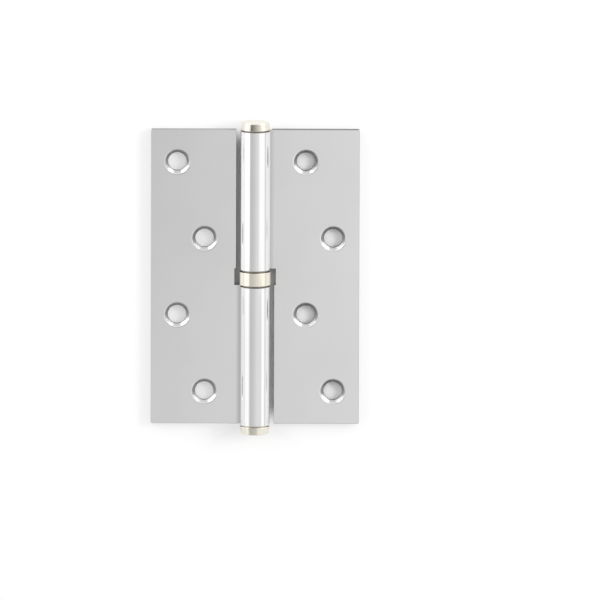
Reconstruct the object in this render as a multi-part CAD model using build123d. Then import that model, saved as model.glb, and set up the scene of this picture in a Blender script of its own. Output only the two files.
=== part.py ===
from build123d import *
import os
from math import asin, cos, degrees, radians, sin, tan

# A lift-off mortise hinge, open flat: two rolled leaves on one pin, with a ball bearing between the knuckles.
# The pin axis is Z, and the origin is on it at mid height. The door leaf runs to +X and the frame leaf to -X.
# Their countersunk front faces look along -Y, and their backs lie in one plane, at +Y.

# Driving dimensions, in millimetres
LEAF_HEIGHT = 100.0
OPEN_WIDTH = 70.0
SHEET = 2.5
PIN_DIAMETER = 5.0
KNUCKLE_SPACE = 5.6  # height left for the bearing between the two knuckles
EDGE_CLEARANCE = 1.4  # from a knuckle to the straight edge of the other leaf
RELIEF_DEPTH = 0.55  # how far the relief notch beside the bearing goes past that edge
SEAM_GAP = 0.1  # between the roll's end and the plate that it comes back to

# Edges of the stamping
CORNER_RADIUS = 0.4
FACE_EDGE_RADIUS = 0.15
FACE_EDGE_SETBACK = 1.7  # the rounded face edges start this far past the relief notch
KNUCKLE_EDGE_RADIUS = 0.15  # on the straight edge beside the other knuckle
NOTCH_RADIUS = 0.3
KNUCKLE_CHAMFER = 0.12

# Screw holes
SCREWS_PER_LEAF = 4
SCREW_END_INSET = 11.0  # from the leaf's ends to the first and last holes
SCREW_OUTER_INSET = 8.8  # from the leaf's free edge to the outer row
SCREW_INNER_INSET = 10.6  # from the leaf's knuckle side to the inner row
SCREW_HOLE_DIAMETER = 6.2
COUNTERSINK_DIAMETER = 8.5
COUNTERSINK_ANGLE = 90.0
COUNTERSINK_RIM_RADIUS = 0.5

# End caps
CAP_HEIGHT = 3.0
CAP_STEM = 6.0
CAP_TAPER = 0.42  # how much narrower the head is at its crown, on the radius
CAP_CROWN_RADIUS = 0.4
CAP_EDGE_RADIUS = 0.15
CAP_GROOVE = 0.35  # height of the shadow groove under the cap's head
CAP_GROOVE_DEPTH = 0.6
STEM_CHAMFER = 0.4

# Pin
PIN_CLEARANCE = 0.05  # on the radius, where the upper knuckle turns and lifts on the pin
PIN_TIP_SPACE = 6.0  # from the pin's tip to the stem of the top cap
PIN_TIP_TAPER = 1.2
PIN_TIP_INSET = 0.6

# Ball bearing
SHELL_PROUD = 0.3  # how far the ring stands out from the knuckles
SHELL_END_GAP = 0.55  # from the ring to each knuckle
SHELL_WALL = 0.45
SHELL_LIP = 0.4
SHELL_EDGE_RADIUS = 0.15
RACE_CLEARANCE = 0.1  # between the races and the ring
RACE_BORE_CLEARANCE = 0.15  # between the races and the pin
RACE_STEP = 0.4  # the shoulder that keeps each race inside the ring
BALL_MARGIN = 0.075  # from the balls to each side of the races
BALL_COUNT = 10
GROOVE_CLEARANCE = 0.05
GROOVE_DEPTH = 0.35

# Places that follow from them
BORE_RADIUS = PIN_DIAMETER / 2
BARREL_RADIUS = BORE_RADIUS + SHEET
HALF_HEIGHT = LEAF_HEIGHT / 2
HALF_WIDTH = OPEN_WIDTH / 2
HALF_SPACE = KNUCKLE_SPACE / 2
FRONT_FACE = BORE_RADIUS  # Y of the countersunk faces
BACK_FACE = BARREL_RADIUS  # Y of the faces that lie in the mortises
EDGE_X = BARREL_RADIUS + EDGE_CLEARANCE
RELIEF_X = EDGE_X + RELIEF_DEPTH
STEM_END = HALF_HEIGHT - CAP_STEM
PIN_RUN_RADIUS = BORE_RADIUS - PIN_CLEARANCE
SHELL_RADIUS = BARREL_RADIUS + SHELL_PROUD
SHELL_INNER = SHELL_RADIUS - SHELL_WALL
SHELL_HALF = HALF_SPACE - SHELL_END_GAP
RACE_OUTER = SHELL_INNER - RACE_CLEARANCE
RACE_BORE = PIN_RUN_RADIUS + RACE_BORE_CLEARANCE
RACE_NECK = RACE_OUTER - RACE_STEP
BALL_RADIUS = (RACE_OUTER - RACE_BORE) / 2 - BALL_MARGIN
BALL_CIRCLE = (RACE_OUTER + RACE_BORE) / 2
RACE_FACE = BALL_RADIUS + GROOVE_CLEARANCE - GROOVE_DEPTH
CUT_PAST = 1.0  # how far cutting tools run past what they cut

HALF_TURN = Rotation(0, 180, 0)  # about Y: puts the upper half's piece on the lower half


def turned(*corners):
    """A solid turned about the pin axis from corners given as (radius, z)."""
    outline = make_face(Polyline(*corners, close=True).edges())
    return revolve(Plane.XZ * outline, Axis.Z)


def rounded_rings(solid, z, radius, ring_radius):
    """The solid with its circular edges of one ring radius, at height z, rounded off."""
    rings = [
        edge
        for edge in solid.edges().filter_by(GeomType.CIRCLE)
        if abs(edge.arc_center.Z - z) < 1e-4 and abs(edge.radius - ring_radius) < 1e-4
    ]
    return fillet(rings, radius)


def rolled_sheet():
    """The sheet from the roll's end to where its rounded plate starts, as high as the leaf."""
    roll_arc = 270 + degrees(asin((FRONT_FACE - SEAM_GAP) / BARREL_RADIUS))
    end = radians(90 + roll_arc)
    plate_start = RELIEF_X + FACE_EDGE_SETBACK
    section = make_face(
        [
            Line((plate_start, FRONT_FACE), (0, FRONT_FACE)),
            CenterArc((0, 0), BORE_RADIUS, 90, roll_arc),
            Line(
                (BORE_RADIUS * cos(end), BORE_RADIUS * sin(end)),
                (BARREL_RADIUS * cos(end), BARREL_RADIUS * sin(end)),
            ),
            CenterArc((0, 0), BARREL_RADIUS, 90, roll_arc),
            Line((0, BACK_FACE), (plate_start, BACK_FACE)),
            Line((plate_start, BACK_FACE), (plate_start, FRONT_FACE)),
        ]
    )
    return Pos(0, 0, -HALF_HEIGHT) * extrude(section, LEAF_HEIGHT)


def plate():
    """The flat of the leaf past the roll, with rounded corners and front edges."""
    start = RELIEF_X + FACE_EDGE_SETBACK
    length = HALF_WIDTH - start
    blank = Pos(start + length / 2, (FRONT_FACE + BACK_FACE) / 2, 0) * Box(length, SHEET, LEAF_HEIGHT)
    corners = blank.edges().filter_by(Axis.Y).group_by(Axis.X)[-1]
    blank = fillet(corners, CORNER_RADIUS)
    front = blank.faces().sort_by(Axis.Y)[0]
    rim = [edge for edge in front.edges() if edge.center().X > start + 1e-3]
    return fillet(rim, FACE_EDGE_RADIUS)


def knuckle_notch():
    """What is stamped out beside the knuckle: room for the other knuckle, and a relief at the bearing."""
    outside = -BARREL_RADIUS - CUT_PAST
    below = -HALF_HEIGHT - CUT_PAST
    outline = Polyline(
        (outside, below),
        (EDGE_X, below),
        (EDGE_X, -HALF_SPACE),
        (RELIEF_X, -HALF_SPACE),
        (RELIEF_X, HALF_SPACE),
        (outside, HALF_SPACE),
        close=True,
    )
    face = make_face(outline.edges())
    relief_corners = [v for v in face.vertices() if abs(v.X - RELIEF_X) < 1e-6]
    face = fillet(relief_corners, NOTCH_RADIUS)
    return extrude(Plane.XZ * face, BARREL_RADIUS + CUT_PAST, both=True)


def screw_places():
    """(x, z) of the screw holes, from the top: the inner row and the outer row by turns."""
    pitch = (LEAF_HEIGHT - 2 * SCREW_END_INSET) / (SCREWS_PER_LEAF - 1)
    rows = (EDGE_X + SCREW_INNER_INSET, HALF_WIDTH - SCREW_OUTER_INSET)
    return [(rows[i % 2], HALF_HEIGHT - SCREW_END_INSET - i * pitch) for i in range(SCREWS_PER_LEAF)]


def countersunk_hole(x, z):
    """The space of one countersunk screw hole, through the leaf from its front face."""
    hole = SCREW_HOLE_DIAMETER / 2
    rim = COUNTERSINK_DIAMETER / 2
    depth = (rim - hole) / tan(radians(COUNTERSINK_ANGLE / 2))
    space = turned(
        (0, CUT_PAST),
        (rim, CUT_PAST),
        (rim, 0),
        (hole, -depth),
        (hole, -SHEET - CUT_PAST),
        (0, -SHEET - CUT_PAST),
    )
    return Pos(x, FRONT_FACE, z) * Rotation(90, 0, 0) * space


def knuckle_end_chamfer(z, inward):
    """A ring that breaks the roll's outer edge at one end. inward is the way into the knuckle, +1 or -1."""
    reach = BARREL_RADIUS + CUT_PAST
    corner = make_face(
        Polyline(
            (BARREL_RADIUS - KNUCKLE_CHAMFER, z),
            (reach, z),
            (reach, z + inward * (KNUCKLE_CHAMFER + CUT_PAST)),
            close=True,
        ).edges()
    )
    roll_start = 90
    return revolve(Rotation(0, 0, roll_start) * (Plane.XZ * corner), Axis.Z, 270)


def door_leaf():
    """One leaf with the upper knuckle: a single stamping, its knuckle rolled from its own edge."""
    leaf = rolled_sheet() + plate() - knuckle_notch()
    straight_edges = leaf.edges().filter_by(Axis.Z).filter_by_position(Axis.X, EDGE_X - 1e-3, EDGE_X + 1e-3)
    leaf = fillet(straight_edges.sort_by(Axis.Y)[0], KNUCKLE_EDGE_RADIUS)
    leaf -= knuckle_end_chamfer(HALF_HEIGHT, -1)
    leaf -= knuckle_end_chamfer(HALF_SPACE, 1)
    for x, z in screw_places():
        leaf -= countersunk_hole(x, z)
    rims = [
        edge
        for edge in leaf.edges().filter_by(GeomType.CIRCLE)
        if abs(edge.radius - COUNTERSINK_DIAMETER / 2) < 1e-4
    ]
    return fillet(rims, COUNTERSINK_RIM_RADIUS)


def top_cap():
    """A turned button that closes the upper knuckle: a tapered head, a seat, and a stem in the bore."""
    crown = HALF_HEIGHT + CAP_HEIGHT
    crown_edge = BARREL_RADIUS - CAP_TAPER
    head = HALF_HEIGHT + CAP_GROOVE
    seat_radius = BARREL_RADIUS - CAP_GROOVE_DEPTH
    cap = turned(
        (0, crown),
        (crown_edge, crown),
        (BARREL_RADIUS, head),
        (seat_radius, head),
        (seat_radius, HALF_HEIGHT),
        (BORE_RADIUS, HALF_HEIGHT),
        (BORE_RADIUS, STEM_END + STEM_CHAMFER),
        (BORE_RADIUS - STEM_CHAMFER, STEM_END),
        (0, STEM_END),
    )
    cap = rounded_rings(cap, crown, CAP_CROWN_RADIUS, crown_edge)
    return rounded_rings(cap, head, CAP_EDGE_RADIUS, BARREL_RADIUS)


def hinge_pin():
    """The pin: tight in the lower knuckle, a running fit in the upper one, with a tapered tip."""
    tip = STEM_END - PIN_TIP_SPACE
    return turned(
        (0, -STEM_END),
        (BORE_RADIUS, -STEM_END),
        (BORE_RADIUS, -HALF_SPACE),
        (PIN_RUN_RADIUS, -HALF_SPACE),
        (PIN_RUN_RADIUS, tip - PIN_TIP_TAPER),
        (PIN_RUN_RADIUS - PIN_TIP_INSET, tip),
        (0, tip),
    )


def bearing_shell():
    """The ring that shows between the knuckles, turned in at both ends to keep the races in."""
    lip = RACE_NECK + RACE_CLEARANCE
    inside = SHELL_HALF - SHELL_LIP
    shell = turned(
        (lip, -SHELL_HALF),
        (SHELL_RADIUS, -SHELL_HALF),
        (SHELL_RADIUS, SHELL_HALF),
        (lip, SHELL_HALF),
        (lip, inside),
        (SHELL_INNER, inside),
        (SHELL_INNER, -inside),
        (lip, -inside),
    )
    for z in (-SHELL_HALF, SHELL_HALF):
        shell = rounded_rings(shell, z, SHELL_EDGE_RADIUS, SHELL_RADIUS)
    return shell


def upper_race():
    """A grooved washer: its neck stands out of the ring to carry the upper knuckle."""
    shoulder = SHELL_HALF - SHELL_LIP - RACE_CLEARANCE
    washer = turned(
        (RACE_BORE, RACE_FACE),
        (RACE_OUTER, RACE_FACE),
        (RACE_OUTER, shoulder),
        (RACE_NECK, shoulder),
        (RACE_NECK, HALF_SPACE),
        (RACE_BORE, HALF_SPACE),
    )
    return washer - Torus(BALL_CIRCLE, BALL_RADIUS + GROOVE_CLEARANCE)


def bearing_balls():
    """The balls, evenly spread on their circle with no cage."""
    ball = Pos(BALL_CIRCLE, 0, 0) * Sphere(BALL_RADIUS)
    return [Rotation(0, 0, i * 360 / BALL_COUNT) * ball for i in range(BALL_COUNT)]


def pieces():
    """Every piece of the hinge by its node's name."""
    leaf = door_leaf()
    cap = top_cap()
    race = upper_race()
    named = {
        "door_leaf": leaf,
        "frame_leaf": HALF_TURN * leaf,
        "top_cap": cap,
        "bottom_cap": HALF_TURN * cap,
        "hinge_pin": hinge_pin(),
        "bearing_shell": bearing_shell(),
        "upper_race": race,
        "lower_race": HALF_TURN * race,
    }
    for number, ball in enumerate(bearing_balls(), start=1):
        named[f"bearing_ball_{number:02d}"] = ball
    return named


os.makedirs("parts", exist_ok=True)
for name, piece in pieces().items():
    export_step(piece, f"parts/{name}.step")
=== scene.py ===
import bpy
from math import cos, radians, sin
from mathutils import Matrix, Vector

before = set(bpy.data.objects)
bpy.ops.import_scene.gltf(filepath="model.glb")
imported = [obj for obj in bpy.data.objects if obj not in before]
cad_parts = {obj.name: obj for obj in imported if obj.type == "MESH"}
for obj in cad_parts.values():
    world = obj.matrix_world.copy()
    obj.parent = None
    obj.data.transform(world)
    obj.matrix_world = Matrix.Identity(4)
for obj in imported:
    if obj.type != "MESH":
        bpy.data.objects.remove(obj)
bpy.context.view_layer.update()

MM = 0.001
MM_IN_METRE = 1000.0

# Camera: where the pin's middle is seen in the square picture, in pixels from its top left
PICTURE = 600
PIXELS_PER_MM = 2.977
AXIS_PIXEL_X = 255.05
AXIS_PIXEL_Y = 277.9
CAMERA_ELEVATION = 9.2
CAMERA_ROLL = 0.185
LENS = 1200.0
SENSOR = 36.0
CLIP_RANGE = (0.1, 10)

# Places on the leaves, in millimetres from the pin and from mid height
LEAF_END = 50.0
LEAF_FREE_EDGE = 35.0
LEAF_STRAIGHT_EDGE = 6.4
LEAF_RELIEF_EDGE = 6.95
RELIEF_HALF_HEIGHT = 2.8
PLATE_START = 5.6
FACE_Y = 2.5
HOLE_RADIUS = 3.1
CONE_RADIUS = 4.25
CONE_FLOOR = 3.7
HOLE_PITCH = 52.0
INNER_HOLES = (17.0, -13.0)
OUTER_HOLES = (26.2, 13.0)
LEAF_WIDTH = (-LEAF_FREE_EDGE, LEAF_FREE_EDGE)
BARREL_WIDTH = (-LEAF_STRAIGHT_EDGE, LEAF_STRAIGHT_EDGE)
LEFT_TO_RIGHT = (-10.0, 10.0)

# Fades in from the leaves' sheared outline, and out from their notches and punched holes, in millimetres
SHEAR_FADE = (0.14, 0.04)
NOTCH_FADE = (0.06, 0.01)
NOTCH_SLACK = 0.05
RELIEF_SLACK = 0.02
PUNCH_FADE = (0.1, 0.02)
CONE_FADE = (0.02, -0.12)
RIM_FADE = (0.5, 0.1)
RUB_FADE = (0.8, 0.2)

# Seams round the barrel, darkened by dirt and painted shade: distance from the middle and half width, in
# millimetres
RING_SEAM = (2.52, 0.34)
CAP_SEAM = (50.15, 0.30)
SEAM_FADE = (0.06, -0.06)
SEAM_REACH = 5.5
# Painted light: the seams lighter at the foot, down to this share
FOOT_SEAM_PAINTED_LIGHT = 0.5
FOOT_SEAM_FADE = (5.0, 1.0)

# The white board that the hinge lies on, just behind the bearing ring. Pairs are its left and right side
BOARD_Y = 5.35 * MM
BOARD_SIZE = 1.6
BOARD_COLOUR = (0.92, 0.92, 0.92, 1)
BOARD_WHITE = 0.98
BOARD_LIFT = 0.66
# Painted light: the board glows lighter under the left leaf, seen through its holes
LEAF_PAINTED_LIGHTS = (0.34, 0.0)
# Painted shade: the board darker in the gaps beside the knuckles, more on the left
GAP_PAINTED_SHADES = (0.62, 0.78)
WHITE = (1, 1, 1, 1)

# Fades on the board, in millimetres out from the pin, and inside and past the leaves' ends
GAP_FADE = (5.0, 15.0)
UNDER_LEAF_FADE = (8.0, 13.0)
BESIDE_FADE = (27.0, LEAF_FREE_EDGE)
END_FADE_INSIDE = 6.0
TOP_FADE_PAST = 1.5
FOOT_FADE_PAST = 8.0
LIFT_FADE_PAST = 1.0

# Brightness of the studio round the hinge
FRONT_LEFT = 0.62
FRONT_MIDDLE = 0.74
LEFT_WALL = 0.60
WALL_POST = 0.26
RIGHT_WINDOW = 0.48
WINDOW_SPILL = 0.12
HIGH_PANEL = 0.35
LOW_LEFT = 0.10
LOW_RIGHT = 0.42
DARK_CAMERA = 0.50
CAMERA_RIGHT_SHARE = 0.3
CEILING = 0.5
BRIGHTEST = 1.18
SIDE_LAMPS = 2.1
NEAR_FLOOR = 0.86
BACKDROP = 0.96

# Lit places of the studio: azimuth, elevation, and the angles from there where they fade and end
WINDOW_PLACE = (66, -9, 6, 18)
SPILL_PLACE = (30, -3, 5, 34)
PANEL_PLACE = (60, 13, 9, 20)
RIGHT_LAMP_PLACE = (82, 36, 17, 35)
LEFT_LAMP_PLACE = (-82, 36, 17, 35)

# Fades of the studio's parts, along the X, Y or Z of a direction that is one long
FRONT_FADE_X = (-0.55, 0.0)
WALL_FADE_X = (-0.58, -0.80)
POST_FADE_Y = (0.22, 0.06)
CEILING_FADE_Z = (0.3, 0.65)
CAMERA_FOOT_Z = (0.0, 0.12)
CAMERA_TOP_Z = (0.75, 0.5)
CAMERA_SIDES_X = (0.62, 0.5)
CAMERA_OFFSET_X = 0.03
CAMERA_SLOPE_X = (-0.55, 0.5)
LOW_RIGHT_FADE_X = (0.1, 0.6)
LOW_FADE_Z = (-0.26, -0.40)
FLOOR_FADE_Z = (-0.32, -0.2)

# Soft lights: azimuth, elevation, distance and size in metres, strength, and whether the metal mirrors them
SOFT_LIGHTS = {
    "key_softbox": (56, 12, 0.9, (0.24, 0.30), 3.6, False),
    "front_card": (41, 6, 0.15, (0.066, 0.080), 0.0052, True),
    "left_card": (-70, 6, 0.15, (0.170, 0.080), 0.0100, True),
}

# Colours of the metals
CHROME = (0.828, 0.827, 0.826, 1)
CUT_EDGE = (0.30, 0.30, 0.30, 1)
MACHINED = (0.60, 0.60, 0.60, 1)
NICKEL = (0.84, 0.80, 0.70, 1)
STEEL = (0.56, 0.57, 0.58, 1)
# Dirt and painted shade in the seams
SEAM_SHADE = (0.34, 0.32, 0.28, 1)

# Tone of the leaves: painted light drifting across and down, painted shade beside the roll, and dullness of
# the cut edges, with painted shade making them darker on the right leaf
SIDE_PAINTED_LIGHT = 0.075
DOWN_PAINTED_LIGHT = 0.03
DOWN_PAINTED_LIGHT_SHARES = (1.4, -0.5)
ROOT_PAINTED_SHADES = (-0.3, -0.16)
ROOT_FADE = (6.7, 5.1)
FACE_FADE = (0.4, 0.2)
CUT_PAINTED_SHADE_SHARES = (0.75, 1.0)
DULL_PAINTED_SHADE_SHARES = (1.0, 0.7)

# Plating: its drift of tone, orange peel and hairlines, with patterns per millimetre
DRIFT_SCALE = 0.045
PEEL_SCALE = 1.1
HAIRLINE_STRETCH = (5.0, 5.0, 0.06)
HAIRLINE_DETAIL = 3.0
HAIRLINE_WIDTH = 0.012
HAIRLINE_PATCHES = 0.13
HAIRLINE_DEPTH = -0.25
PEEL_ROUGHNESS = 0.05
DRIFT_ROUGHNESS = 0.012
RUB_PATCHES = 0.7
LEAF_PLATING = {"Drift": 0.02, "Polish": 0.14, "Hairlines": 0.08}
TURNED_HAIRLINES = 0.06

# Roughness that each part of a surface adds
CUT_ROUGHNESS = 0.32
SEAM_ROUGHNESS = 0.3
CONE_ROUGHNESS = 0.08
RUBBED_ROUGHNESS = 0.05
RING_ROUGHNESS = 0.08
RING_TONE = 0.06

# Bump of the surfaces
PEEL_BUMP = 0.25
PEEL_DEPTH = 0.004 * MM
RING_BUMP = 0.3
RING_DETAIL = 4.0
RING_PATCHES = 0.5

# Turned metals: polish, drift of tone, rings per millimetre and their depth
NICKEL_TURNING = (0.15, 0.02, 5.0, 0.003 * MM)
PIN_TURNING = (0.26, 0.05, 4.0, 0.008 * MM)
BEARING_TURNING = (0.16, 0.04, 6.0, 0.002 * MM)

# Middle of a noise, and the span of it that is used
NOISE_MIDDLE = 0.5
NOISE_SPAN = (0.3, 0.7)
NOISE_HIGH = (0.5, 0.7)
NOISE_NARROW = (0.35, 0.65)


def add_camera():
    """A long lens at the photograph's tilt, moved so that the hinge stands left of the middle."""
    data = bpy.data.cameras.new("camera")
    data.lens = LENS
    data.sensor_width = SENSOR
    camera = bpy.data.objects.new("camera", data)
    bpy.context.scene.collection.objects.link(camera)
    width = PICTURE / PIXELS_PER_MM * MM
    distance = width * LENS / SENSOR
    tilt = radians(CAMERA_ELEVATION)
    back = Vector((0, -cos(tilt), sin(tilt)))
    look = (-back).to_track_quat("-Z", "Y").to_matrix()
    turned = look @ Matrix.Rotation(radians(CAMERA_ROLL), 3, "Z")
    right = turned @ Vector((1, 0, 0))
    up = turned @ Vector((0, 1, 0))
    metres_per_pixel = width / PICTURE
    aside = (PICTURE / 2 - AXIS_PIXEL_X) * metres_per_pixel
    below = (AXIS_PIXEL_Y - PICTURE / 2) * metres_per_pixel
    camera.location = back * distance + right * aside + up * below
    camera.rotation_mode = "QUATERNION"
    camera.rotation_quaternion = turned.to_quaternion()
    data.clip_start = distance * CLIP_RANGE[0]
    data.clip_end = distance * CLIP_RANGE[1]
    bpy.context.scene.camera = camera


def direction(azimuth, elevation):
    """Azimuth 0 is the camera's side and 90 the right."""
    a, e = radians(azimuth), radians(elevation)
    return Vector((sin(a) * cos(e), -cos(a) * cos(e), sin(e)))


def add_soft_light(name, azimuth, elevation, distance, size, strength, mirrored):
    """A rectangular light that looks at the hinge and is mirrored in its metal or not."""
    data = bpy.data.lights.new(name, "AREA")
    data.shape = "RECTANGLE"
    data.size, data.size_y = size
    data.energy = strength
    lamp = bpy.data.objects.new(name, data)
    bpy.context.scene.collection.objects.link(lamp)
    away = direction(azimuth, elevation)
    lamp.location = away * distance
    lamp.rotation_mode = "QUATERNION"
    lamp.rotation_quaternion = away.to_track_quat("Z", "Y")
    lamp.visible_camera = False
    lamp.visible_glossy = mirrored


def add_node(tree, kind, inputs=None, **settings):
    """A new node. An input is a value, or the socket that it is linked from."""
    made = tree.nodes.new(kind)
    for name, value in settings.items():
        setattr(made, name, value)
    for name, value in (inputs or {}).items():
        if isinstance(value, bpy.types.NodeSocket):
            tree.links.new(value, made.inputs[name])
        else:
            made.inputs[name].default_value = value
    return made


def calc(tree, operation, *values):
    made = add_node(tree, "ShaderNodeMath", dict(enumerate(values)), operation=operation)
    return made.outputs[0]


def vector_calc(tree, operation, inputs):
    return add_node(tree, "ShaderNodeVectorMath", inputs, operation=operation)


def ramp(tree, value, start, end, low=0.0, high=1.0):
    """A smooth rise from low to high as the value goes from start to end."""
    inputs = {"Value": value, "From Min": start, "From Max": end, "To Min": low, "To Max": high}
    return add_node(tree, "ShaderNodeMapRange", inputs, interpolation_type="SMOOTHSTEP").outputs[0]


def slope(tree, value, start, end, low=0.0, high=1.0):
    """A straight rise from low to high as the value goes from start to end."""
    inputs = {"Value": value, "From Min": start, "From Max": end, "To Min": low, "To Max": high}
    return add_node(tree, "ShaderNodeMapRange", inputs, clamp=True).outputs[0]


def inside(edge, fade):
    """The two ends of a fade that lies inside an edge."""
    return edge - fade[0], edge - fade[1]


def outside(edge, fade):
    """The two ends of a fade that lies outside an edge."""
    return edge + fade[0], edge + fade[1]


def largest(tree, values):
    found = values[0]
    for value in values[1:]:
        found = calc(tree, "MAXIMUM", found, value)
    return found


def off_middle(tree, pattern):
    """How far a noise or ring pattern is from its middle, below or above."""
    return calc(tree, "SUBTRACT", pattern, NOISE_MIDDLE)


def object_millimetres(tree):
    coordinates = add_node(tree, "ShaderNodeTexCoord").outputs["Object"]
    return vector_calc(tree, "SCALE", {0: coordinates, "Scale": MM_IN_METRE}).outputs[0]


def split_xyz(tree, vector):
    return add_node(tree, "ShaderNodeSeparateXYZ", {0: vector}).outputs


def flat_length(tree, first, second):
    """Length of two distances at right angles."""
    flat = add_node(tree, "ShaderNodeCombineXYZ", {"X": first, "Y": second})
    return vector_calc(tree, "LENGTH", {0: flat.outputs[0]}).outputs["Value"]


def noise(tree, vector, scale, detail=2.0):
    inputs = {"Vector": vector, "Scale": scale, "Detail": detail}
    return add_node(tree, "ShaderNodeTexNoise", inputs).outputs["Fac"]


def shaded(tree, colour, tone):
    """A colour made a little lighter or darker."""
    return vector_calc(tree, "SCALE", {0: colour[:3], "Scale": tone}).outputs[0]


def mixed(tree, factor, first, second):
    """The first colour where the factor is nought, the second where it is one."""
    return add_node(tree, "ShaderNodeMix", {0: factor, 6: first, 7: second}, data_type="RGBA").outputs[2]


def glow(tree, way, azimuth, elevation, inner, outer):
    """One inside an angle of a direction, nought outside a wider angle."""
    nearness = vector_calc(tree, "DOT_PRODUCT", {0: way, 1: direction(azimuth, elevation)})
    return ramp(tree, nearness.outputs["Value"], cos(radians(outer)), cos(radians(inner)))


def dark_camera(tree, right, back, up):
    """Where the camera and its stand darken the studio: above the front, and less on the right."""
    above_foot = ramp(tree, up, *CAMERA_FOOT_Z)
    below_top = ramp(tree, up, *CAMERA_TOP_Z)
    aside = calc(tree, "ABSOLUTE", calc(tree, "ADD", right, CAMERA_OFFSET_X))
    across = ramp(tree, aside, *CAMERA_SIDES_X)
    front = calc(tree, "LESS_THAN", back, 0.0)
    height = calc(tree, "MULTIPLY", above_foot, below_top)
    place = calc(tree, "MULTIPLY", height, calc(tree, "MULTIPLY", across, front))
    return calc(tree, "MULTIPLY", place, slope(tree, right, *CAMERA_SLOPE_X, 1.0, CAMERA_RIGHT_SHARE))


def add_world():
    """A grey room with a white wall and its post on the left, a window and a panel on the right,
    a lamp at each side, reflectors low down and the dark camera above the front."""
    world = bpy.data.worlds.new("studio")
    bpy.context.scene.world = world
    world.use_nodes = True
    tree = world.node_tree
    tree.nodes.clear()
    way = add_node(tree, "ShaderNodeTexCoord").outputs["Generated"]
    split = split_xyz(tree, way)
    right, back, up = split["X"], split["Y"], split["Z"]

    light = slope(tree, right, *FRONT_FADE_X, FRONT_LEFT, FRONT_MIDDLE)
    wall = ramp(tree, right, *WALL_FADE_X)
    light = calc(tree, "MULTIPLY_ADD", wall, LEFT_WALL, light)
    light = calc(tree, "MULTIPLY_ADD", glow(tree, way, *WINDOW_PLACE), RIGHT_WINDOW, light)
    light = calc(tree, "MULTIPLY_ADD", glow(tree, way, *SPILL_PLACE), WINDOW_SPILL, light)
    light = calc(tree, "MULTIPLY_ADD", ramp(tree, up, *CEILING_FADE_Z), CEILING, light)
    light = calc(tree, "MULTIPLY_ADD", dark_camera(tree, right, back, up), -DARK_CAMERA, light)
    light = calc(tree, "MINIMUM", light, BRIGHTEST)

    post = calc(tree, "MULTIPLY", ramp(tree, calc(tree, "ABSOLUTE", back), *POST_FADE_Y), wall)
    light = calc(tree, "MULTIPLY_ADD", post, -WALL_POST, light)
    light = calc(tree, "MULTIPLY_ADD", glow(tree, way, *RIGHT_LAMP_PLACE), SIDE_LAMPS, light)
    light = calc(tree, "MULTIPLY_ADD", glow(tree, way, *LEFT_LAMP_PLACE), SIDE_LAMPS, light)
    light = calc(tree, "MULTIPLY_ADD", glow(tree, way, *PANEL_PLACE), HIGH_PANEL, light)
    low_right = ramp(tree, right, *LOW_RIGHT_FADE_X, 0.0, LOW_RIGHT)
    low_sides = calc(tree, "MULTIPLY_ADD", wall, LOW_LEFT, low_right)
    light = calc(tree, "MULTIPLY_ADD", ramp(tree, up, *LOW_FADE_Z), low_sides, light)
    light = calc(tree, "MULTIPLY", light, ramp(tree, up, *FLOOR_FADE_Z, NEAR_FLOOR, 1.0))

    seen = add_node(tree, "ShaderNodeLightPath").outputs["Is Camera Ray"]
    light = add_node(tree, "ShaderNodeMix", {"Factor": seen, "A": light, "B": BACKDROP}).outputs["Result"]
    sky = add_node(tree, "ShaderNodeBackground", {"Color": light})
    add_node(tree, "ShaderNodeOutputWorld", {"Surface": sky.outputs[0]})


def board_paper(tree, path):
    """Matt white paper with painted shade in the gaps beside the knuckles and painted light under the left
    leaf, lifted to white round the hinge.
    """
    place = split_xyz(tree, object_millimetres(tree))
    across, height = place["X"], place["Z"]
    out = calc(tree, "ABSOLUTE", across)
    from_middle = calc(tree, "ABSOLUTE", height)

    past_top = ramp(tree, height, LEAF_END - END_FADE_INSIDE, LEAF_END + TOP_FADE_PAST)
    past_foot = ramp(tree, height, END_FADE_INSIDE - LEAF_END, -LEAF_END - FOOT_FADE_PAST)
    # Painted shade: the board darker in the gaps beside the knuckles, fading out past the leaves' ends
    gap_painted_shade = slope(tree, across, *BARREL_WIDTH, *GAP_PAINTED_SHADES)
    painted_shade_in_gap = ramp(tree, out, *GAP_FADE, gap_painted_shade, 1.0)
    tone = largest(tree, (painted_shade_in_gap, past_top, past_foot))
    matte = add_node(tree, "ShaderNodeBsdfDiffuse", {"Color": shaded(tree, BOARD_COLOUR, tone)})

    # Painted light: the board lifted under the left leaf, seen through its holes
    leaf_painted_light = slope(tree, across, *BARREL_WIDTH, *LEAF_PAINTED_LIGHTS)
    painted_light_under_leaf = ramp(tree, out, *UNDER_LEAF_FADE, 0.0, leaf_painted_light)
    beside = ramp(tree, out, *BESIDE_FADE, 0.0, BOARD_LIFT)
    ends = (LEAF_END - END_FADE_INSIDE, LEAF_END + LIFT_FADE_PAST)
    beyond = ramp(tree, from_middle, *ends, 0.0, BOARD_LIFT)
    round_hinge = largest(tree, (painted_light_under_leaf, beside, beyond))
    seen = calc(tree, "MAXIMUM", path.outputs["Is Camera Ray"], path.outputs["Is Glossy Ray"])
    lift = calc(tree, "MULTIPLY", seen, round_hinge)
    white = add_node(tree, "ShaderNodeEmission", {"Color": WHITE, "Strength": BOARD_WHITE})
    return add_node(tree, "ShaderNodeMixShader", {"Fac": lift, 1: matte.outputs[0], 2: white.outputs[0]})


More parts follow.
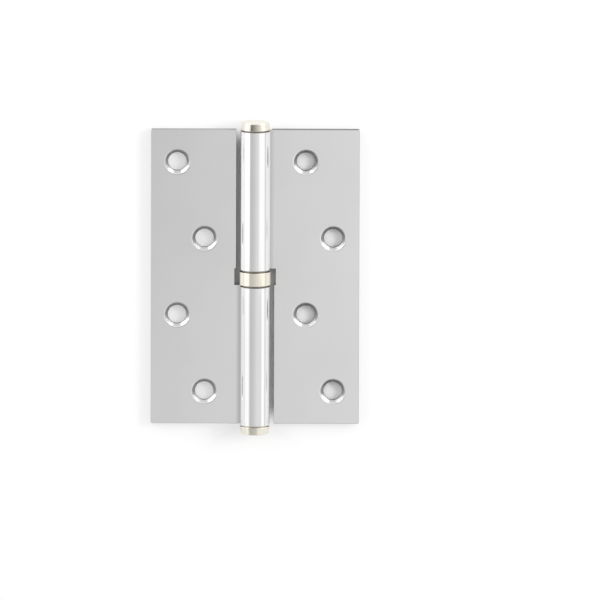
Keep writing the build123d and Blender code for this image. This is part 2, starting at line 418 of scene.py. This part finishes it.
def add_board():
    """The board behind the hinge. A look from behind goes straight through it."""
    bpy.ops.object.select_all(action="DESELECT")
    bpy.ops.mesh.primitive_plane_add(size=BOARD_SIZE)
    board = bpy.context.object
    board.name = "white_board"
    board.data.transform(Matrix.Translation((0, BOARD_Y, 0)) @ Matrix.Rotation(radians(90), 4, "X"))
    mat = bpy.data.materials.new("board_white")
    mat.use_nodes = True
    tree = mat.node_tree
    tree.nodes.clear()
    behind = add_node(tree, "ShaderNodeNewGeometry").outputs["Backfacing"]
    path = add_node(tree, "ShaderNodeLightPath")
    hidden = calc(tree, "MAXIMUM", behind, path.outputs["Transparent Depth"])
    paper = board_paper(tree, path)
    clear = add_node(tree, "ShaderNodeBsdfTransparent")
    mix = add_node(tree, "ShaderNodeMixShader", {"Fac": hidden, 1: paper.outputs[0], 2: clear.outputs[0]})
    add_node(tree, "ShaderNodeOutputMaterial", {"Surface": mix.outputs[0]})
    board.data.materials.append(mat)


def new_group(name, outputs, inputs=None):
    """A shared effect with float outputs, and float inputs with the values they start from."""
    group = bpy.data.node_groups.new(name, "ShaderNodeTree")
    for socket in outputs:
        group.interface.new_socket(socket, in_out="OUTPUT", socket_type="NodeSocketFloat")
    for socket, value in (inputs or {}).items():
        made = group.interface.new_socket(socket, in_out="INPUT", socket_type="NodeSocketFloat")
        made.default_value = value
    return group


def plating_group():
    """Plating: a slow drift of tone, faint orange peel and a few hairlines from handling."""
    group = new_group("plating", ("Tone", "Roughness", "Height"), LEAF_PLATING)
    given = add_node(group, "NodeGroupInput").outputs
    place = object_millimetres(group)
    broad = slope(group, noise(group, place, DRIFT_SCALE), *NOISE_SPAN, -1.0, 1.0)
    tone = calc(group, "MULTIPLY_ADD", broad, given["Drift"], 1.0)
    peel = noise(group, place, PEEL_SCALE)
    drawn_out = vector_calc(group, "MULTIPLY", {0: place, 1: HAIRLINE_STRETCH}).outputs[0]
    lines = noise(group, drawn_out, 1.0, HAIRLINE_DETAIL)
    thin = ramp(group, calc(group, "ABSOLUTE", off_middle(group, lines)), HAIRLINE_WIDTH, 0.0)
    sparse = ramp(group, noise(group, place, HAIRLINE_PATCHES), *NOISE_HIGH)
    hair = calc(group, "MULTIPLY", thin, sparse)
    rough = calc(group, "MULTIPLY_ADD", hair, given["Hairlines"], given["Polish"])
    rough = calc(group, "MULTIPLY_ADD", off_middle(group, peel), PEEL_ROUGHNESS, rough)
    rough = calc(group, "MULTIPLY_ADD", broad, DRIFT_ROUGHNESS, rough)
    height = calc(group, "MULTIPLY_ADD", hair, HAIRLINE_DEPTH, peel)
    add_node(group, "NodeGroupOutput", {"Tone": tone, "Roughness": rough, "Height": height})
    return group


def turning_group():
    """Fine rings left by the lathe, round the sides and over the ends of a turned piece."""
    group = new_group("turning_marks", ("Rings", "Height"), {"Pitch": NICKEL_TURNING[2]})
    given = add_node(group, "NodeGroupInput").outputs
    place = object_millimetres(group)
    split = split_xyz(group, place)
    radius = flat_length(group, split["X"], split["Y"])
    along = calc(group, "ADD", radius, calc(group, "ABSOLUTE", split["Z"]))
    inputs = {"W": along, "Scale": given["Pitch"], "Detail": RING_DETAIL}
    rings = add_node(group, "ShaderNodeTexNoise", inputs, noise_dimensions="1D").outputs["Fac"]
    patches = slope(group, noise(group, place, RING_PATCHES), *NOISE_SPAN, 0.5, 1.0)
    height = calc(group, "MULTIPLY", rings, patches)
    add_node(group, "NodeGroupOutput", {"Rings": rings, "Height": height})
    return group


def nearest_hole(group, out, up):
    """Distance from the middle of the nearest screw hole. Each line of holes repeats down the leaf."""
    distances = []
    for across, along in (INNER_HOLES, OUTER_HOLES):
        beside = calc(group, "SUBTRACT", out, across)
        above = calc(group, "WRAP", calc(group, "SUBTRACT", up, along), HOLE_PITCH / 2, -HOLE_PITCH / 2)
        distances.append(flat_length(group, beside, above))
    return calc(group, "MINIMUM", *distances)


def cut_edges_group():
    """Where a leaf is sheared or punched, where it is countersunk and where its outline is rubbed."""
    group = new_group("cut_edges", ("Cut", "Cone", "Rubbed"))
    place = object_millimetres(group)
    split = split_xyz(group, place)
    out = calc(group, "ABSOLUTE", split["X"])
    from_middle = calc(group, "ABSOLUTE", split["Z"])
    up = calc(group, "MULTIPLY", split["Z"], calc(group, "SIGN", split["X"]))

    on_plate = calc(group, "GREATER_THAN", out, PLATE_START)
    free_edge = ramp(group, out, *inside(LEAF_FREE_EDGE, SHEAR_FADE))
    end_edge = calc(group, "MULTIPLY", ramp(group, from_middle, *inside(LEAF_END, SHEAR_FADE)), on_plate)
    outline = calc(group, "MAXIMUM", free_edge, end_edge)
    # Painted shade: the sheared outline counts less on the left leaf, so the right leaf's edges are darker
    outline = calc(group, "MULTIPLY", outline, slope(group, split["X"], *LEFT_TO_RIGHT, *CUT_PAINTED_SHADE_SHARES))

    below_knuckle = calc(group, "LESS_THAN", up, NOTCH_SLACK - RELIEF_HALF_HEIGHT)
    straight_edge = ramp(group, out, *outside(LEAF_STRAIGHT_EDGE, NOTCH_FADE))
    straight_edge = calc(group, "MULTIPLY", straight_edge, below_knuckle)
    straight_edge = calc(group, "MULTIPLY", straight_edge, on_plate)
    at_relief = calc(group, "LESS_THAN", from_middle, RELIEF_HALF_HEIGHT + RELIEF_SLACK)
    relief_edge = ramp(group, out, *outside(LEAF_RELIEF_EDGE, NOTCH_FADE))
    relief_edge = calc(group, "MULTIPLY", relief_edge, at_relief)

    hole = nearest_hole(group, out, up)
    in_front = calc(group, "LESS_THAN", split["Y"], CONE_FLOOR)
    punched = ramp(group, hole, *outside(HOLE_RADIUS, PUNCH_FADE))
    cone = calc(group, "MULTIPLY", ramp(group, hole, *outside(CONE_RADIUS, CONE_FADE)), in_front)
    cut = largest(group, (outline, straight_edge, relief_edge, punched))

    rim = calc(group, "MULTIPLY", ramp(group, hole, *outside(CONE_RADIUS, RIM_FADE)), in_front)
    side_strip = ramp(group, out, *inside(LEAF_FREE_EDGE, RUB_FADE))
    end_strip = ramp(group, from_middle, *inside(LEAF_END, RUB_FADE))
    patches = slope(group, noise(group, place, RUB_PATCHES), *NOISE_NARROW)
    rubbed = calc(group, "MULTIPLY", largest(group, (side_strip, end_strip, rim)), patches)
    add_node(group, "NodeGroupOutput", {"Cut": cut, "Cone": cone, "Rubbed": rubbed})
    return group


def seam_dirt_and_shade_group():
    """Dirt and painted shade in the barrel's narrow seams, at the ring and at the caps, the painted shade
    lighter at the foot.
    """
    group = new_group("barrel_seam_dirt_and_shade", ("Seam",))
    split = split_xyz(group, object_millimetres(group))
    radius = flat_length(group, split["X"], split["Y"])
    from_middle = calc(group, "ABSOLUTE", split["Z"])
    lines = []
    for middle, half in (RING_SEAM, CAP_SEAM):
        away = calc(group, "ABSOLUTE", calc(group, "SUBTRACT", from_middle, middle))
        lines.append(ramp(group, away, *outside(half, SEAM_FADE)))
    on_barrel = calc(group, "LESS_THAN", radius, SEAM_REACH)
    # Dirt and painted shade along the seams
    seam_dirt_and_shade = calc(group, "MULTIPLY", largest(group, lines), on_barrel)
    # Painted light: the seams lighter at the foot
    foot_painted_light = ramp(group, split["Z"], *outside(-CAP_SEAM[0], FOOT_SEAM_FADE), 1.0, FOOT_SEAM_PAINTED_LIGHT)
    add_node(group, "NodeGroupOutput", {"Seam": calc(group, "MULTIPLY", seam_dirt_and_shade, foot_painted_light)})
    return group


def new_metal(name):
    mat = bpy.data.materials.new(name)
    mat.use_nodes = True
    shader = mat.node_tree.nodes["Principled BSDF"]
    shader.inputs["Metallic"].default_value = 1
    return mat, mat.node_tree, shader


def finish_metal(tree, shader, colour, rough, bump_inputs):
    """Links colour, roughness and bump to a metal's shader."""
    bump = add_node(tree, "ShaderNodeBump", bump_inputs)
    tree.links.new(colour, shader.inputs["Base Color"])
    tree.links.new(rough, shader.inputs["Roughness"])
    tree.links.new(bump.outputs[0], shader.inputs["Normal"])


def leaf_tone_with_painted_light(tree, across, back, height, plate_tone):
    """Tone of a leaf's chrome: painted light drifting across and down it, and painted shade where the roll
    leaves its face.
    """
    # Painted light: lighter towards the right, and on the left leaf lighter towards the foot, on the right
    # leaf towards the top
    sideways_painted_light = slope(tree, across, *LEAF_WIDTH, -SIDE_PAINTED_LIGHT, SIDE_PAINTED_LIGHT)
    downwards_painted_light = slope(tree, height, -LEAF_END, LEAF_END, DOWN_PAINTED_LIGHT, -DOWN_PAINTED_LIGHT)
    downwards_painted_light = calc(tree, "MULTIPLY", downwards_painted_light, slope(tree, across, *LEAF_WIDTH, *DOWN_PAINTED_LIGHT_SHARES))
    tone = calc(tree, "ADD", plate_tone, calc(tree, "ADD", sideways_painted_light, downwards_painted_light))
    # Painted shade: the face darker next to the roll, more on the left leaf
    beside_roll = ramp(tree, calc(tree, "ABSOLUTE", across), *ROOT_FADE)
    from_face = calc(tree, "ABSOLUTE", calc(tree, "SUBTRACT", back, FACE_Y))
    painted_root_mask = calc(tree, "MULTIPLY", beside_roll, ramp(tree, from_face, *FACE_FADE))
    root_painted_shade = slope(tree, across, *BARREL_WIDTH, *ROOT_PAINTED_SHADES)
    return calc(tree, "MULTIPLY", tone, calc(tree, "MULTIPLY_ADD", painted_root_mask, root_painted_shade, 1.0))


def leaf_chrome(name, plating, cut_edges, seam_dirt_and_shade_tree):
    """Satin chrome with machined countersinks, dull cut edges with painted shade that makes them darker on
    the right leaf, and seams darkened by dirt and painted shade.
    """
    mat, tree, shader = new_metal(name)
    plate = add_node(tree, "ShaderNodeGroup", LEAF_PLATING, node_tree=plating).outputs
    edges = add_node(tree, "ShaderNodeGroup", node_tree=cut_edges).outputs
    seam_dirt_and_shade = add_node(tree, "ShaderNodeGroup", node_tree=seam_dirt_and_shade_tree).outputs["Seam"]
    place = split_xyz(tree, object_millimetres(tree))
    bright = shaded(tree, CHROME, leaf_tone_with_painted_light(tree, place["X"], place["Y"], place["Z"], plate["Tone"]))
    machined = shaded(tree, MACHINED, plate["Tone"])
    # Painted shade: the cut edges and hole walls darker on the right leaf
    dull_painted_shade_share = slope(tree, place["X"], *LEFT_TO_RIGHT, *DULL_PAINTED_SHADE_SHARES)
    dull = shaded(tree, CUT_EDGE, calc(tree, "MULTIPLY", plate["Tone"], dull_painted_shade_share))
    colour = mixed(tree, edges["Cone"], bright, machined)
    colour = mixed(tree, edges["Cut"], colour, dull)
    # Seams darkened by dirt and painted shade
    colour = mixed(tree, seam_dirt_and_shade, colour, SEAM_SHADE)
    rough = calc(tree, "MULTIPLY_ADD", edges["Cut"], CUT_ROUGHNESS, plate["Roughness"])
    rough = calc(tree, "MULTIPLY_ADD", seam_dirt_and_shade, SEAM_ROUGHNESS, rough)
    rough = calc(tree, "MULTIPLY_ADD", edges["Cone"], CONE_ROUGHNESS, rough)
    rough = calc(tree, "MULTIPLY_ADD", edges["Rubbed"], RUBBED_ROUGHNESS, rough)
    bump_inputs = {"Strength": PEEL_BUMP, "Distance": PEEL_DEPTH, "Height": plate["Height"]}
    finish_metal(tree, shader, colour, rough, bump_inputs)
    return mat


def turned_metal(name, metal, plating, turning, seam_dirt_and_shade_tree, polish, drift, pitch, ring_depth):
    """A lathe-turned metal with its fine rings, and seams darkened by dirt and painted shade."""
    mat, tree, shader = new_metal(name)
    plating_values = {"Drift": drift, "Polish": polish, "Hairlines": TURNED_HAIRLINES}
    plate = add_node(tree, "ShaderNodeGroup", plating_values, node_tree=plating).outputs
    marks = add_node(tree, "ShaderNodeGroup", {"Pitch": pitch}, node_tree=turning).outputs
    seam_dirt_and_shade = add_node(tree, "ShaderNodeGroup", node_tree=seam_dirt_and_shade_tree).outputs["Seam"]
    rings = off_middle(tree, marks["Rings"])
    tone = calc(tree, "MULTIPLY_ADD", rings, RING_TONE, plate["Tone"])
    # Seams darkened by dirt and painted shade
    colour = mixed(tree, seam_dirt_and_shade, shaded(tree, metal, tone), SEAM_SHADE)
    rough = calc(tree, "MULTIPLY_ADD", rings, RING_ROUGHNESS, plate["Roughness"])
    rough = calc(tree, "MULTIPLY_ADD", seam_dirt_and_shade, SEAM_ROUGHNESS, rough)
    bump_inputs = {"Strength": RING_BUMP, "Distance": ring_depth, "Height": marks["Height"]}
    finish_metal(tree, shader, colour, rough, bump_inputs)
    return mat


def dress(node, material):
    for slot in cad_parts[node].material_slots:
        slot.material = material


def dress_hinge():
    """Chrome for the leaves, warm nickel for the caps and the ring, steel for the pin and the bearing."""
    plating = plating_group()
    turning = turning_group()
    seam_dirt_and_shade_tree = seam_dirt_and_shade_group()
    chrome = leaf_chrome("leaf_chrome", plating, cut_edges_group(), seam_dirt_and_shade_tree)
    nickel = turned_metal("warm_nickel", NICKEL, plating, turning, seam_dirt_and_shade_tree, *NICKEL_TURNING)
    pin_steel = turned_metal("pin_steel", STEEL, plating, turning, seam_dirt_and_shade_tree, *PIN_TURNING)
    bearing_steel = turned_metal("bearing_steel", STEEL, plating, turning, seam_dirt_and_shade_tree, *BEARING_TURNING)
    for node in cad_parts:
        if node.endswith("leaf"):
            dress(node, chrome)
        elif node.endswith("cap") or node == "bearing_shell":
            dress(node, nickel)
        elif node == "hinge_pin":
            dress(node, pin_steel)
        else:
            dress(node, bearing_steel)


bpy.context.scene.view_settings.view_transform = "Standard"
add_camera()
add_world()
add_board()
for light_name, settings in SOFT_LIGHTS.items():
    add_soft_light(light_name, *settings)
dress_hinge()
